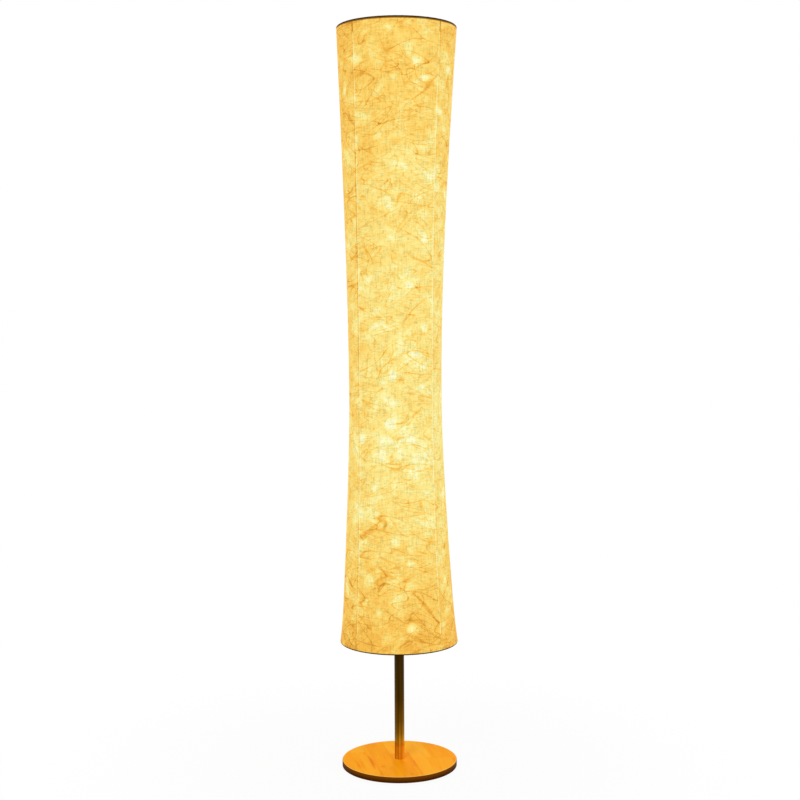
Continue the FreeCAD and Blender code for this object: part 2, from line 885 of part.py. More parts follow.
def rod_clips(ring_z, up):
    # A jaw that hooks round the ring's wire from inside, and a stem with a socket for the rod
    inner = ring_wire_radius + clip_jaw_play
    outer = inner + clip_jaw_wall
    angles = [math.radians(a) for a in (clip_jaw_start, (clip_jaw_start + clip_jaw_end) / 2, clip_jaw_end)]
    half = clip_jaw_width / 2

    def at(radius, angle):
        return Vector(
            ring_radius + radius * math.cos(angle), -half, ring_z + up * radius * math.sin(angle)
        )

    outer_points = [at(outer, a) for a in angles]
    inner_points = [at(inner, a) for a in reversed(angles)]
    jaw = Part.Wire(
        [
            Part.Arc(*outer_points).toShape(),
            Part.LineSegment(outer_points[-1], inner_points[0]).toShape(),
            Part.Arc(*inner_points).toShape(),
            Part.LineSegment(inner_points[-1], outer_points[0]).toShape(),
        ]
    )
    jaw = Part.Face(jaw).extrude(Vector(0, clip_jaw_width, 0))
    mouth = rod_point(ring_z - up * (clip_length + rod_end_gap - 2))
    seat = rod_point(ring_z - up * rod_end_gap)
    line = (seat - mouth).normalize()
    stem_length = (seat - mouth).Length + rod_end_gap
    stem = Part.makeCylinder(clip_radius, stem_length, mouth, line)
    socket = Part.makeCylinder(rod_radius + rod_play, (seat - mouth).Length + rod_play + 1, mouth - line, line)
    wire = Part.makeTorus(ring_radius, inner, Vector(0, 0, ring_z))
    stem = stem.cut(wire).cut(socket)
    low = min(ring_z, ring_z + up * 2 * ring_wire_radius)
    # nothing of the stem goes up past the wire's middle
    past = Part.makeBox(40, 40, 2 * ring_wire_radius, Vector(ring_radius - 20, -20, low))
    clip = jaw.fuse(stem.cut(past)).removeSplitter()
    return at_seams(clip)


# ---------------------------------------------------------------- the whole lamp
def lamp_holder(prefix, bracket_z):
    z = bracket_z + bracket_thickness
    pieces = {
        "holder_cap": holder_cap(),
        "holder_shell": holder_shell(),
        "holder_insert": holder_insert(),
        "screw_shell": screw_shell(),
        "centre_contact": centre_contact(),
        "bulb_tip": bulb_tip(),
        "bulb_cap": bulb_cap(),
        "bulb_housing": bulb_housing(),
        "bulb_dome": bulb_dome(),
        "led_board": led_board(),
    }
    return {f"{prefix}_{name}": bracket_place(shape, z) for name, shape in pieces.items()}


def lamp():
    nodes = {
        "base_disc": base_disc(),
        "base_weight": base_weight(),
        "weight_screws": weight_screws(),
        "base_felt": base_felt(),
        "cord_grommet": cord_grommet(),
        "lead_splices": splices(),
        "pole_lower": pole_tube(base_top_z, lower_tube_length, lower_bracket_z - exit_drop),
        "pole_middle": pole_tube(middle_tube_z, middle_tube_length, upper_bracket_z - exit_drop),
        "pole_upper": pole_tube(upper_tube_z, upper_tube_length),
        "tube_bushes": tube_bushes(),
        "joint_nipples": joint_nipples(),
        "lower_bracket": bracket(lower_bracket_z),
        "upper_bracket": bracket(upper_bracket_z),
        "lower_lead": lead(1, lower_bracket_z),
        "upper_lead": lead(-1, upper_bracket_z),
        "lead_bushings": [lead_bushing(lower_bracket_z), lead_bushing(upper_bracket_z)],
        "top_stud": top_stud(),
        "pivot_washer": pivot_washer(),
        "finial_insert": finial_insert(),
        "finial_knob": finial_knob(),
        "top_ring": ring(top_ring_z),
        "bottom_ring": ring(bottom_ring_z),
        "top_spider": top_spider(),
        "bottom_spider": bottom_spider(),
        "guide_bush": guide_bush(),
        "shade_rods": shade_rods(),
        "rod_sleeves": rod_sleeves(),
        "top_rod_clips": rod_clips(top_ring_z, 1),
        "bottom_rod_clips": rod_clips(bottom_ring_z, -1),
        "top_hem": hem(top_ring_z, 1),
        "bottom_hem": hem(bottom_ring_z, -1),
    }
    nodes.update(foot_fixing())
    holder_tops = [z + bracket_thickness for z in (lower_bracket_z, upper_bracket_z)]
    nodes["holder_nipples"] = [bracket_place(holder_nipple(), z) for z in holder_tops]
    nodes["holder_nuts"] = [bracket_place(holder_nut(), z) for z in holder_tops]
    nodes.update(lamp_holder("lower", lower_bracket_z))
    nodes.update(lamp_holder("upper", upper_bracket_z))
    panel = skin_panel()
    for i, name in enumerate(panel_names):
        nodes[f"shade_panel_{name}"] = around(panel, 90 * i)
    return nodes


os.makedirs("parts", exist_ok=True)
for name, shape in lamp().items():
    if isinstance(shape, list):
        shape = Part.Compound(shape)
    if not shape.isValid() or not shape.Solids:
        print("not a valid solid:", name)
    shape.exportStep(f"parts/{name}.step")
print("base top", base_top_z, "brackets", lower_bracket_z, upper_bracket_z, "pole top", pole_top_z)
print("rings", bottom_ring_z, top_ring_z, "shade top", top_ring_z + hem_radius, "waist", waist_z)
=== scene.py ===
import math
import random

import bpy
from mathutils import Matrix, Vector


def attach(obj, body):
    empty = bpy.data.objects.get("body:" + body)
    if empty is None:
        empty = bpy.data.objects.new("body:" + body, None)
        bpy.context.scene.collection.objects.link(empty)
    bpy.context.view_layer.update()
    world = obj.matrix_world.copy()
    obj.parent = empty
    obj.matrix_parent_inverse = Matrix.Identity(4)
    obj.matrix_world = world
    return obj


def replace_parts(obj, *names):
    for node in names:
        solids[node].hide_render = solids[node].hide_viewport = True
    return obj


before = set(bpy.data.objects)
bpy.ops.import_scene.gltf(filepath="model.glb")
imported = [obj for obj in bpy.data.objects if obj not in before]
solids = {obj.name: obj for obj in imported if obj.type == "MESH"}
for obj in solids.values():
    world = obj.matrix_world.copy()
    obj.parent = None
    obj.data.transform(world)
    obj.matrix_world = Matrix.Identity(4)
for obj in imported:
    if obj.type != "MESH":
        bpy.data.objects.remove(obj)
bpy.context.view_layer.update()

# Paper lantern floor lamp, dressed over its solids. Metres, +Z up, the front is -Y.
mm = 0.001


# a value inside a material, on which sums and products add their own Math nodes
class Signal:
    def __init__(self, owner, socket):
        self.owner = owner
        self.socket = socket

    def combine(self, operation, first, second=None):
        inputs = {0: first} if second is None else {0: first, 1: second}
        return self.owner.node("Math", {"operation": operation}, inputs)

    def __add__(self, other):
        return self.combine("ADD", self, other)

    def __radd__(self, other):
        return self.combine("ADD", other, self)

    def __sub__(self, other):
        return self.combine("SUBTRACT", self, other)

    def __rsub__(self, other):
        return self.combine("SUBTRACT", other, self)

    def __mul__(self, other):
        return self.combine("MULTIPLY", self, other)

    def __rmul__(self, other):
        return self.combine("MULTIPLY", other, self)

    def __truediv__(self, other):
        return self.combine("DIVIDE", self, other)

    def __rtruediv__(self, other):
        return self.combine("DIVIDE", other, self)

    def __pow__(self, other):
        return self.combine("POWER", self, other)

    def __rpow__(self, other):
        return self.combine("POWER", other, self)

    def __abs__(self):
        return self.combine("ABSOLUTE", self)


# the nodes of a material or of the world; each new one is made by node()
class Nodes:
    def __init__(self, tree):
        self.tree = tree

    def plug(self, node, socket, value):
        if isinstance(value, Signal):
            self.tree.links.new(value.socket, node.inputs[socket])
            return
        slot = node.inputs[socket]
        if hasattr(value, "__len__") and slot.type == "RGBA":
            value = tuple(value)[:3] + (1.0,)
        slot.default_value = value

    def node(self, kind, settings, inputs, output=0):
        made = self.tree.nodes.new("ShaderNode" + kind)
        for setting, value in settings.items():
            if setting == "stops":
                ramp = made.color_ramp.elements
                while len(ramp) < len(value):
                    ramp.new(1.0)
                for stop, (at, colour) in zip(ramp, value):
                    stop.position = at
                    stop.color = tuple(colour) + (1.0,)
            else:
                setattr(made, setting, value)
        for socket, value in inputs.items():
            self.plug(made, socket, value)
        return Signal(self, made.outputs[output])

    def background(self):
        # 1 for the rays that see the background, straight or in metal and glass
        seen = self.node("LightPath", {}, {}, "Is Camera Ray")
        for kind in ("Is Glossy Ray", "Is Transmission Ray"):
            ray = self.node("LightPath", {}, {}, kind)
            seen = self.node("Math", {"operation": "MAXIMUM"}, {0: seen, 1: ray})
        return seen


# one material, with the textures and masks that its surface is made of
class Finish(Nodes):
    def __init__(self, name, **fixed):
        self.material = bpy.data.materials.new(name)
        self.material.use_nodes = True
        super().__init__(self.material.node_tree)
        self.shader = self.tree.nodes["Principled BSDF"]
        for socket, value in fixed.items():
            self.plug(self.shader, socket.replace("_", " "), value)
        self.place = self.node("TexCoord", {}, {}, "Object")

    def axes(self, vector=None):
        source = vector or self.place
        return [self.node("SeparateXYZ", {}, {0: source}, axis) for axis in ("X", "Y", "Z")]

    def stretched(self, vector, scale):
        return self.node("VectorMath", {"operation": "MULTIPLY"}, {0: vector, 1: scale})

    def shifted(self, vector, offset):
        return self.node("VectorMath", {"operation": "ADD"}, {0: vector, 1: offset})

    def scaled(self, vector, factor):
        return self.node("VectorMath", {"operation": "SCALE"}, {0: vector, "Scale": factor})

    def noise(self, vector, scale, detail=2.0, roughness=0.5, distortion=0.0, output=0):
        inputs = {"Vector": vector, "Scale": scale, "Detail": detail}
        inputs.update({"Roughness": roughness, "Distortion": distortion})
        return self.node("TexNoise", {}, inputs, output)

    def wandering(self, vector, scale, detail, reach):
        # the same coordinates, each carried off a little way by a slow noise
        return self.shifted(vector, self.scaled(self.noise(vector, scale, detail, output=1), reach))

    def drawnOut(self, vector, slant, share):
        # squeezes a pattern's coordinates along a slanting line, so that its features run that way
        line = (math.cos(math.radians(slant)), math.sin(math.radians(slant)), 0)
        along = self.node("VectorMath", {"operation": "DOT_PRODUCT"}, {0: vector, 1: line}, "Value")
        return self.shifted(vector, self.scaled(line, along * (share - 1)))

    def fade(self, value, low, high, start=0.0, end=1.0):
        return self.node("MapRange", {"interpolation_type": "SMOOTHSTEP"},
                         {"Value": value, "From Min": low, "From Max": high, "To Min": start, "To Max": end})

    def ramp(self, value, *stops):
        return self.node("ValToRGB", {"stops": stops}, {0: value})

    def blend(self, factor, first, second, mode="MIX"):
        # 6 and 7 are the Mix node's two colour inputs, and 2 is its colour output
        settings = {"data_type": "RGBA", "blend_type": mode}
        return self.node("Mix", settings, {"Factor": factor, 6: first, 7: second}, 2)

    def bump(self, height, distance, strength=1.0):
        self.plug(self.shader, "Normal",
                  self.node("Bump", {}, {"Height": height, "Distance": distance, "Strength": strength}))

    def set(self, **sockets):
        for socket, value in sockets.items():
            self.plug(self.shader, socket.replace("_", " "), value)


def linear(red, green, blue):
    # a screen colour of 0 to 255 as the light that it stands for
    parts = [v / 255 for v in (red, green, blue)]
    return tuple(v / 12.92 if v <= 0.04045 else ((v + 0.055) / 1.055) ** 2.4 for v in parts)


def dress(finish, *names):
    for name in names:
        mesh = solids[name].data
        mesh.materials.clear()
        mesh.materials.append(finish.material)


def build(name, points, faces, finish):
    mesh = bpy.data.meshes.new(name)
    mesh.from_pydata([tuple(p) for p in points], [], faces)
    mesh.update()
    mesh.materials.append(finish.material)
    for face in mesh.polygons:
        face.use_smooth = True
    made = bpy.data.objects.new(name, mesh)
    bpy.context.collection.objects.link(made)
    return made


# the paper
paper = {
    "ringZ": (282.5 * mm, 1619.0 * mm),
    "waistZ": 831.0 * mm,
    "rimRadius": 130.0 * mm,
    "waistRadius": 101.3 * mm,
    "seamRadius": 110.0 * mm,
    "upperBend": 1.7,
    "lowerBend": 3.2,
    "lowerFlare": 4.0 * mm,
    "flarePower": 12,
    "thickness": 0.8 * mm,
    "seamGap": 0.1 * mm,
    "across": 44,
    "along": 240,
    "columnSpread": 0.8,  # the larger, the closer the columns stand by the seams
    "heldEnd": 30.0 * mm,  # the rings keep the puckers down within this
    "puckers": 4,  # overlaid waves at each seam
    "puckerDepth": 0.7 * mm,
    "puckerShares": (0.2, 0.5),
    "puckerSpacing": 23.0 * mm,
    "spacingShares": (0.7, 2.1),
    "puckerReach": 22.0 * mm,
    "puckerPeak": 5.0 * mm,
    "puckerStart": 3.0 * mm,
    "puckerSlant": 20.0 * mm,
    "bow": 4.2 * mm,  # how far the whole shade bows to the left at half its height
    "sideBow": 1.8 * mm,  # and the middles of its two side panels beyond that
    # the paper's tone from its darkest fibre over amber, honey and cream to its hottest spot
    "tones": ((0.0, (0.60, 0.265, 0.020)), (0.34, (0.925, 0.50, 0.072)), (0.56, (0.955, 0.66, 0.145)),
              (0.80, (0.955, 0.84, 0.30)), (1.0, (0.970, 0.955, 0.56))),
    "glowStrength": 0.83,
    "bodyTone": 0.20,
    "rimShade": linear(70, 42, 8),
    "rimFade": (3.4 * mm, 1.4 * mm, 0.75),  # from and to, below the top ring, and how dark
    # the glow: what each zone adds, and how far it reaches up or down
    "restGlow": 0.195,
    "footGlow": (0.13, 0.10),
    "lowGlow": (0.09, 0.45),
    "highGlow": (0.13, 0.56),
    "middleGlow": (0.035, 1.0, 0.45),  # about a height of 1 m
    "brightSide": (0.13, math.radians(-50)),  # about this direction, a little to the right of the front
    "underShade": (0.09, 0.35),
    "bulbs": ((638.7 * mm, 0.08), (1273.7 * mm, 0.02)),  # heights, and how far each lifts the glow
    "bulbReach": 0.30,
    # the noise of each pattern: scale, detail, roughness, distortion
    "patterns": {
        "clouds": (21.0, 4.0, 0.55, 0.4),
        "strokes": (60.0, 4.0, 0.6, 0.4),
        "counter": (66.0, 4.0, 0.6, 0.4),
        "clumps": (75.0, 5.0, 0.65, 0.8),
        "crinkle": (300.0, 3.0, 0.6),
        "ribs": (330.0, 2.0, 0.6),
        "hairs": (210.0, 4.0, 0.7, 1.2),
    },
    "strokeSlants": (32, -28),  # degrees
    "strokeSqueeze": 0.30,
    # the pulp: how much each pattern changes the glow
    "pulp": {"thin": 0.16, "clouds": 0.36, "strokes": 0.42, "counter": 0.34, "clumps": 0.36},
    "thinSpots": ((17.0, 0.34, 0.34), (29.0, 0.38, 0.24)),  # scale, size, share
    "spotWander": (60.0, 12.0 * mm),
    # sets of long fibres: scale, width, slant in degrees, darkness, seed
    "fibres": ((26.0, 0.010, 12, 0.32, 5.0),
               (28.0, 0.011, -34, 0.32, 7.0),
               (30.0, 0.011, 52, 0.29, 9.0),
               (32.0, 0.012, -62, 0.25, 3.0),
               (32.0, 0.012, -10, 0.32, 17.0),
               (36.0, 0.014, 30, 0.29, 21.0),
               (46.0, 0.018, 36, 0.23, 11.0),
               (54.0, 0.022, -20, 0.23, 12.0)),
    "fibreSqueeze": 0.14,
    "fibreSlack": (6.0, 0.10),
    "weave": {"crinkle": 0.68, "ribs": 0.64, "hairs": 0.46, "mean": 0.495, "most": 1.035},
    "weaveTint": (1.15, 1.5),  # thicker paper is browner: powers for green and blue
    "specks": {"everywhere": 0.10, "foot": 0.28, "top": 0.10},
    # beside a seam, from its line: where it lies, its core, its edge, its strength
    "rodShadow": (3.0 * mm, 0.6 * mm, 3.0 * mm, 0.34),
    # a painted line of light along each seam, then the painted shadows of the clips
    "seamLightLine": (0.0, 0.35 * mm, 1.3 * mm, 0.30),
    "clipMark": (1.0 * mm, 1.0 * mm, 2.6 * mm, 0.55),
    "sideShade": 0.03,
    "shadowZ": (1.06, 0.10, 0.34, 0.42),  # the shadow is full about this height, and this weak at the ends
    "shadowX": (-20.0 * mm, 20.0 * mm, 0.25),  # it is full on the left and this weak on the right
    "clipZ": (642.0 * mm, 647.0 * mm),  # the clips begin this far from half the height
    "clipFade": (0.5, 1.0, 0.35),  # those at the bottom show less
}


def lanternPaper():
    p = paper
    f = Finish("lanternPaper", Roughness=0.75, Specular_IOR_Level=0.12)
    x, y, z = f.axes()
    height = (z - p["ringZ"][0]) / (p["ringZ"][1] - p["ringZ"][0])
    x = x + f.node("Math", {"operation": "SINE"}, {0: height * math.pi}) * p["bow"]
    radius = (x * x + y * y) ** 0.5
    angle = f.node("Math", {"operation": "ARCTAN2"}, {0: y, 1: x})
    turn = abs(abs(angle) - math.pi / 2)
    seam = (turn - math.pi / 4) * radius  # across the seams, above 0 on the two side panels
    # each sheet's own flat coordinates, across and up
    onSide = f.node("Math", {"operation": "GREATER_THAN"}, {0: seam, 1: 0.0})
    facing = f.node("Math", {"operation": "SIGN"}, {0: y + (x - y) * onSide})
    number = onSide * 5.1 + facing * 1.7  # keeps the four sheets' patterns apart
    sheet = f.node("CombineXYZ", {}, {"X": x + (y - x) * onSide, "Y": z, "Z": number})

    # light falls off towards both rims and towards the side away from the bulbs
    bottom, top = p["ringZ"]
    footShare, footReach = p["footGlow"]
    lowShare, lowReach = p["lowGlow"]
    highShare, highReach = p["highGlow"]
    foot = f.fade(z, bottom - 0.01, bottom + footReach)
    low = f.fade(z, bottom, bottom + lowReach)
    high = f.fade(z, top - highReach, top + 0.04, 1.0, 0.0)
    frontShare, frontAngle = p["brightSide"]
    front = f.fade(abs(angle - frontAngle), 0.5, 2.4, 1.0, 0.0)
    middleShare, middleZ, middleReach = p["middleGlow"]
    middle = f.fade(abs(z - middleZ), 0.05, middleReach, 1.0, 0.0)
    underShare, underReach = p["underShade"]
    under = f.fade(z, bottom, bottom + underReach, underShare, 0.0) * front
    light = p["restGlow"] + foot * footShare + low * lowShare + high * highShare
    light = light + middle * middleShare + front * frontShare - under
    for at, share in p["bulbs"]:
        light = light + f.fade(abs(z - at), 0.0, p["bulbReach"], share, 0.0)

    # cloudy pulp, thick and thin, drawn out in slanting strokes
    mix = p["pulp"]
    kinds = p["patterns"]
    upSlant, downSlant = p["strokeSlants"]
    upward = f.drawnOut(sheet, upSlant, p["strokeSqueeze"])
    downward = f.drawnOut(f.shifted(sheet, (0.4, 0.9, 0.0)), downSlant, p["strokeSqueeze"])
    clouds = f.noise(f.shifted(f.place, (0.31, 0.17, 0.05)), *kinds["clouds"])
    strokes = f.noise(upward, *kinds["strokes"])
    counter = f.noise(downward, *kinds["counter"])
    clumps = f.noise(f.shifted(f.place, (1.7, 0.4, 2.2)), *kinds["clumps"])
    pulp = f.fade(clouds, 0.50, 0.72) * mix["thin"] + (clouds - 0.5) * mix["clouds"]
    pulp = pulp + (strokes - 0.5) * mix["strokes"] + (counter - 0.5) * mix["counter"]
    pulp = pulp + (clumps - 0.5) * mix["clumps"]
    # round thin spots that let more light through
    spotScale, spotReach = p["spotWander"]
    wander = f.wandering(f.place, spotScale, 2.0, spotReach)
    for scale, size, amount in p["thinSpots"]:
        near = f.node("TexVoronoi", {}, {"Vector": wander, "Scale": scale})
        chosen = f.axes(f.node("TexVoronoi", {}, {"Vector": wander, "Scale": scale}, "Color"))[0]
        pulp = pulp + f.fade(near, 0.05, size, amount, 0.0) * f.fade(chosen, 0.55, 0.75)

    # long fibres in slack curves: narrow bands along the level lines of slow, drawn-out noise
    fibres = 0.0
    slackScale, slackReach = p["fibreSlack"]
    curved = f.wandering(sheet, slackScale, 1.0, slackReach)
    for scale, width, slant, amount, seed in p["fibres"]:
        moved = f.drawnOut(f.shifted(curved, (seed, seed * 0.3, seed * 0.7)), slant, p["fibreSqueeze"])
        level = abs(f.noise(moved, scale, 0.0, 0.4) - 0.5)
        present = f.fade(f.noise(f.shifted(sheet, (0.0, seed, seed)), 11.0, 1.0), 0.47, 0.56)
        fibres = fibres + f.fade(level, 0.0, width, amount, 0.0) * present

    # fine crinkle upright and across, and short hairs
    crinkle = f.noise(f.stretched(f.place, (1.0, 1.0, 0.16)), *kinds["crinkle"])
    ribs = f.noise(f.stretched(f.place, (0.2, 0.2, 1.0)), *kinds["ribs"])
    hairs = f.noise(f.stretched(f.place, (1.0, 1.0, 0.8)), *kinds["hairs"])
    grain = (crinkle - 0.5) * 0.06 + (hairs - 0.5) * 0.14
    mix = p["weave"]
    weave = 1.0 + (crinkle - mix["mean"]) * mix["crinkle"] + (ribs - mix["mean"]) * mix["ribs"]
    weave = weave + (hairs - 0.5) * mix["hairs"]
    weave = f.node("Math", {"operation": "MINIMUM"}, {0: weave, 1: mix["most"]})
    green, blue = p["weaveTint"]
    weave = f.node("CombineXYZ", {}, {"X": weave, "Y": weave ** green, "Z": weave ** blue})
    # the pulp's dark specks show most where the light is weakest, by the rims
    mix = p["specks"]
    amount = mix["everywhere"] + (1.0 - low) * mix["foot"] + (1.0 - high) * mix["top"]
    specks = f.fade(hairs, 0.56, 0.70) * amount

    # painted light and shade: the rods' shadow beside each seam, a painted line of light where the sheets
    # meet, the painted shadows of the clips at the ends
    def beside(line):
        at, core, edge, strength = line
        return f.fade(abs(seam - at), core, edge, strength, 0.0)

    shadowZ, core, edge, weak = p["shadowZ"]
    leftX, rightX, faint = p["shadowX"]
    shadowed = f.fade(x, leftX, rightX, 1.0, faint) * f.fade(abs(z - shadowZ), core, edge, 1.0, weak)
    clipLow, clipHigh, clipShare = p["clipFade"]
    nearEnd = f.fade(abs(z - (bottom + top) / 2), *p["clipZ"]) * f.fade(z, clipLow, clipHigh, clipShare, 1.0)
    side = f.fade(seam, -1.0 * mm, 4.0 * mm, 0.0, p["sideShade"])
    value = light + pulp + grain - specks - fibres - beside(p["rodShadow"]) * shadowed
    value = value + beside(p["seamLightLine"]) * (1.0 - nearEnd) - beside(p["clipMark"]) * nearEnd - side

    rimFrom, rimTo, rimDark = p["rimFade"]
    rim = f.fade(z, top - rimFrom, top - rimTo) * rimDark
    colour = f.blend(1.0, f.ramp(value - rim, *p["tones"]), weave, "MULTIPLY")
    colour = f.blend(rim, colour, p["rimShade"])
    # the body colour is the glow colour darkened, so it carries the same painted light and shade
    f.set(Emission_Color=colour, Base_Color=f.blend(1.0 - p["bodyTone"], colour, (0, 0, 0)))
    f.set(Emission_Strength=p["glowStrength"])
    f.bump(crinkle * 0.5 + ribs * 0.3 + hairs * 0.35 + clumps * 0.5 - fibres * 2.0, 0.5 * mm, 0.6)
    return f


def seamArc(z):
    # the radius of the long arc that a seam follows, above or below the waist
    rise = paper["rimRadius"] - paper["seamRadius"]
    low, high = paper["ringZ"]
    length = high - paper["waistZ"] if z > paper["waistZ"] else paper["waistZ"] - low
    return (length**2 + rise**2) / (2 * rise)


def seamRadius(z):
    arc = seamArc(z)
    return paper["seamRadius"] + arc - math.sqrt(arc**2 - (z - paper["waistZ"]) ** 2)


def bendShare(share, bend):
    return (math.sqrt(1 + (bend * share) ** 2) - 1) / (math.sqrt(1 + bend**2) - 1)


def middleRadius(z):
    rise = paper["rimRadius"] - paper["waistRadius"]
    if z > paper["waistZ"]:
        share = (z - paper["waistZ"]) / (paper["ringZ"][1] - paper["waistZ"])
        return paper["waistRadius"] + rise * bendShare(share, paper["upperBend"])
    share = (paper["waistZ"] - z) / (paper["waistZ"] - paper["ringZ"][0])
    flare = paper["lowerFlare"] * share ** paper["flarePower"]
    return paper["waistRadius"] + (rise - paper["lowerFlare"]) * bendShare(share, paper["lowerBend"]) + flare


def bowShare(z):
    return math.sin(math.pi * (z - paper["ringZ"][0]) / (paper["ringZ"][1] - paper["ringZ"][0]))


def panelPoint(z, share, inset, waves, bulge):
    # a point of a panel that faces +X; share goes from -1 to 1 between its seams
    corner = seamRadius(z) * math.sqrt(0.5)
    sagitta = middleRadius(z) + bulge * bowShare(z) - corner
    radius = (corner**2 + sagitta**2) / (2 * sagitta)
    centre = corner + sagitta - radius
    gap = paper["seamGap"] * math.sqrt(2)
    r = radius - inset
    k = gap - centre
    edge = math.asin(((math.sqrt(2 * r**2 - k**2) - k) / 2) / r)
    a = edge * share
    end = (1 - abs(share)) * edge * r  # distance from the nearest seam
    held = min(1.0, (z - paper["ringZ"][0]) / paper["heldEnd"], (paper["ringZ"][1] - z) / paper["heldEnd"])
    dip = 0.0
    for phase, spacing, depth in waves[share > 0]:
        dip += depth * (0.5 + 0.5 * math.sin(z / spacing * 2 * math.pi + phase + end / paper["puckerSlant"]))
    reach = math.exp(-((end - paper["puckerPeak"]) / paper["puckerReach"]) ** 2)
    reach *= 1 - math.exp(-(end / paper["puckerStart"]) ** 2)
    r -= dip * reach * held
    return Vector((centre + r * math.cos(a), r * math.sin(a), z))


def panel(name, turn, seed, finish):
    # outer face and inner face of one sheet, joined round its four edges
    dice = random.Random(seed)
    waves = [[(dice.uniform(0, 6.28), paper["puckerSpacing"] * dice.uniform(*paper["spacingShares"]),
               paper["puckerDepth"] * dice.uniform(*paper["puckerShares"]))
              for _ in range(paper["puckers"])] for _ in range(2)]  # one set for each of its seams
    low, high = paper["ringZ"]
    columns, rows = paper["across"] + 1, paper["along"] + 1
    spin = Matrix.Rotation(turn, 3, "Z")
    bulge = -paper["sideBow"] * math.cos(turn)
    spread = math.pi / 2 * paper["columnSpread"]
    points = []
    for inset in (0.0, paper["thickness"]):
        for j in range(rows):
            z = low + (high - low) * j / (rows - 1)
            bowed = Vector((-paper["bow"] * bowShare(z), 0, 0))
            for i in range(columns):
                share = math.sin((2 * i / (columns - 1) - 1) * spread) / math.sin(spread)
                points.append(spin @ panelPoint(z, share, inset, waves, bulge) + bowed)
    layer = columns * rows
    faces = []
    for j in range(rows - 1):
        for i in range(columns - 1):
            a = j * columns + i
            quad = (a, a + 1, a + columns + 1, a + columns)
            faces.append(quad)
            faces.append(tuple(v + layer for v in reversed(quad)))
    rim = list(range(columns)) + [j * columns + columns - 1 for j in range(1, rows)]
    rim += [layer - 2 - i for i in range(columns - 1)] + [j * columns for j in range(rows - 2, 0, -1)]
    for a, b in zip(rim, rim[1:] + rim[:1]):
        faces.append((b, a, a + layer, b + layer))
    made = build(name, points, faces, finish)
    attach(made, "shade")
    return made


paperFinish = lanternPaper()
for number, side in enumerate(("right", "back", "left", "front")):
    made = panel("paper_panel_" + side, math.radians(90 * number), 40 + number, paperFinish)
    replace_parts(made, "shade_panel_" + side)
print("paper panels done")

# the rods along the seams, in their sleeves
rods = {
    "radius": 1.5 * mm,
    "inset": 3.4 * mm,
    "endGap": 5.5 * mm,
    "sleeveInner": 1.6 * mm,
    "sleeveOuter": 2.3 * mm,
    "sleeveMargin": 29.5 * mm,
    "sides": 16,
    "steps": 110,
    "stitchDepth": 0.12 * mm,
    "endTaper": 0.55,
}


def rodPoint(z, turn):
    arc = seamArc(z)
    r = paper["seamRadius"] + arc - math.sqrt((arc + rods["inset"]) ** 2 - (z - paper["waistZ"]) ** 2)
    bow = paper["bow"] * bowShare(z)
    return Vector((r * math.cos(turn) - bow, r * math.sin(turn), z))


def sweep(name, rings, finish, closed):
    # joins rings of points, one after another; closed also joins the last to the first
    n = len(rings[0])
    points = [p for ring in rings for p in ring]
    faces = []
    for k in range(len(rings) - (0 if closed else 1)):
        a, b = k * n, (k + 1) % len(rings) * n
        faces += [(a + i, a + (i + 1) % n, b + (i + 1) % n, b + i) for i in range(n)]
    if not closed:
        faces += [tuple(reversed(range(n))), tuple(range(len(points) - n, len(points)))]
    return build(name, points, faces, finish)


def circleAbout(centre, turn, radius):
    c, s, n = math.cos(turn), math.sin(turn), rods["sides"]
    out = []
    for i in range(n):
        a = 2 * math.pi * i / n
        along, aside = radius * math.cos(a), radius * math.sin(a)
        out.append(centre + Vector((along * c - aside * s, along * s + aside * c, 0)))
    return out


def rodsAndSleeves(rodFinish, sleeveFinish):
    low, high = paper["ringZ"]
    for number in range(4):
        turn = math.radians(45 + 90 * number)
        z0, z1 = low + rods["endGap"], high - rods["endGap"]
        chain = []
        for k in range(rods["steps"] + 1):
            z = z0 + (z1 - z0) * k / rods["steps"]
            thin = rods["endTaper"] if k in (0, rods["steps"]) else 1.0
            chain.append(circleAbout(rodPoint(z, turn), turn, thin * rods["radius"]))
        rod = sweep("seam_rod_%d" % number, chain, rodFinish, False)
        z0, z1 = low + rods["sleeveMargin"], high - rods["sleeveMargin"]
        outer, inner = [], []
        for k in range(rods["steps"] + 1):
            z = z0 + (z1 - z0) * k / rods["steps"]
            swell = rods["stitchDepth"] * (k % 2)
            outer.append(circleAbout(rodPoint(z, turn), turn, rods["sleeveOuter"] - swell))
            inner.append(circleAbout(rodPoint(z, turn), turn, rods["sleeveInner"]))
        sleeve = sweep("seam_sleeve_%d" % number, outer + inner[::-1], sleeveFinish, True)
        for piece, slot, node in ((rod, "glass_fibre", "shade_rods"), (sleeve, "sleeve_tube", "rod_sleeves")):
            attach(piece, "shade")
            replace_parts(piece, node)


# the hems that turn the paper over the two wires
hems = {
    "ringRadius": 126.95 * mm,
    "inner": 2.25 * mm,
    "thickness": 0.8 * mm,
    "endAngle": 110.0,
    "around": 288,
    "over": 12,
    "ripple": 0.12 * mm,
    "waves": 4,  # overlaid round the rim
    "waveCounts": (30, 90),
    "cutWander": 4.0,  # degrees by which the turned edge isn't cut quite straight
    "dark": linear(34, 19, 2),
    "light": linear(78, 49, 5),
}


def rimPaper():
    f = Finish("rimPaper", Roughness=0.95, Specular_IOR_Level=0.0)
    fold = f.noise(f.stretched(f.place, (1.0, 1.0, 2.4)), 160.0, 3.0, 0.6)
    spots = f.noise(f.place, 900.0, 2.0)
    f.set(Base_Color=f.ramp(fold * 0.7 + spots * 0.3, (0.3, hems["dark"]), (0.7, hems["light"])))
    f.bump(fold + spots * 0.3, 0.3 * mm, 0.5)
    return f


